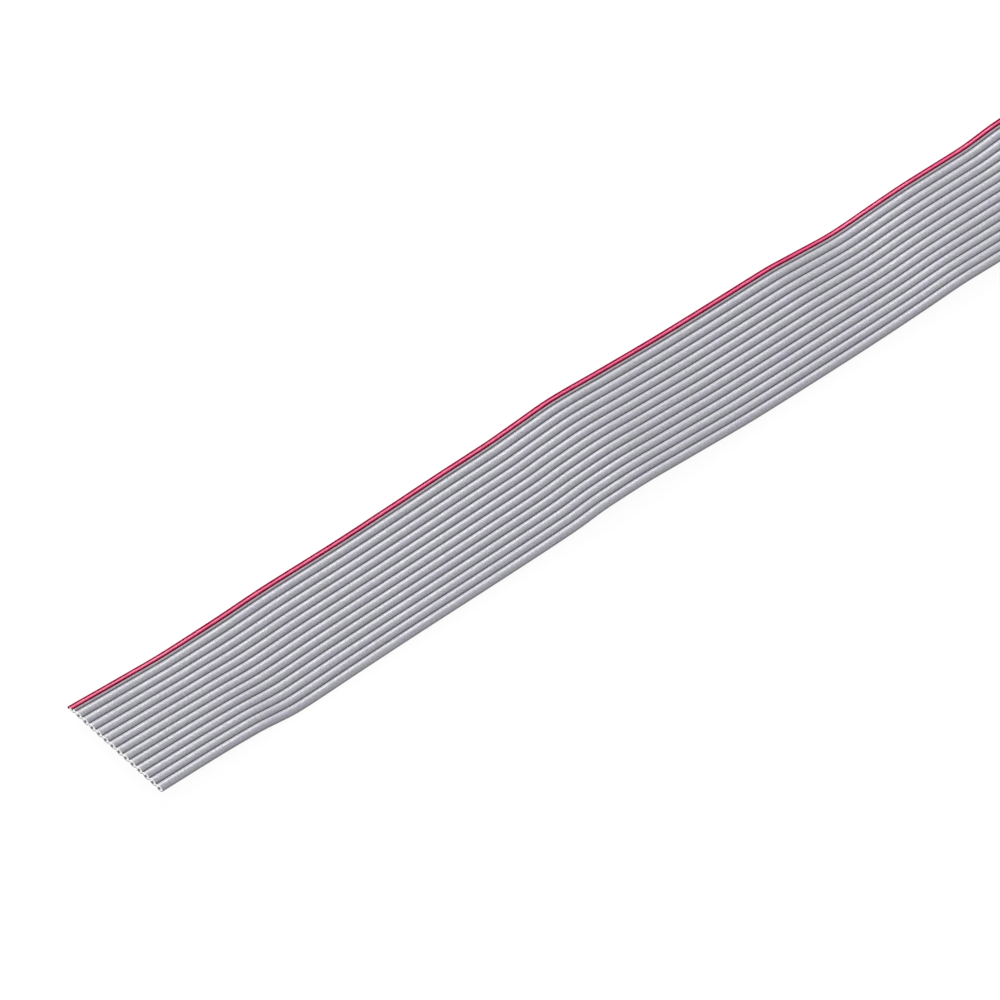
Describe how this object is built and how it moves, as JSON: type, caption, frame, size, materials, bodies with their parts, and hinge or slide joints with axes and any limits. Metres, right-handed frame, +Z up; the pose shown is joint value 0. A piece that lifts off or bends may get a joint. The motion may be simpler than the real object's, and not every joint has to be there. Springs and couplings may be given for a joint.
{
  "type": "ribbon cable",
  "caption": "Flat grey ribbon cable of stranded conductors in ribbed insulation, red stripe along one edge, cut square at both ends, lying in shallow waves.",
  "frame": {"origin": "middle of the cable's length and width, on the surface that it lies on", "axes": "+X along the cable from the cut end that the picture shows to the other end, +Y across to the striped edge, +Z up"},
  "size_m": [0.2, 0.0178, 0.003],
  "materials": {
    "insulation": "semi-matt grey flexible PVC, extruded",
    "edge_stripe": "semi-matt red skin on the insulation",
    "conductor": "tin-plated copper strands, cut off bright"
  },
  "bodies": {
    "root": {"insulation": "insulation", "edge_stripe": "edge_stripe", "conductor_01": "conductor", "conductor_02": "conductor", "conductor_03": "conductor", "conductor_04": "conductor", "conductor_05": "conductor", "conductor_06": "conductor", "conductor_07": "conductor", "conductor_08": "conductor", "conductor_09": "conductor", "conductor_10": "conductor", "conductor_11": "conductor", "conductor_12": "conductor", "conductor_13": "conductor", "conductor_14": "conductor"}
  },
  "joints": []
}
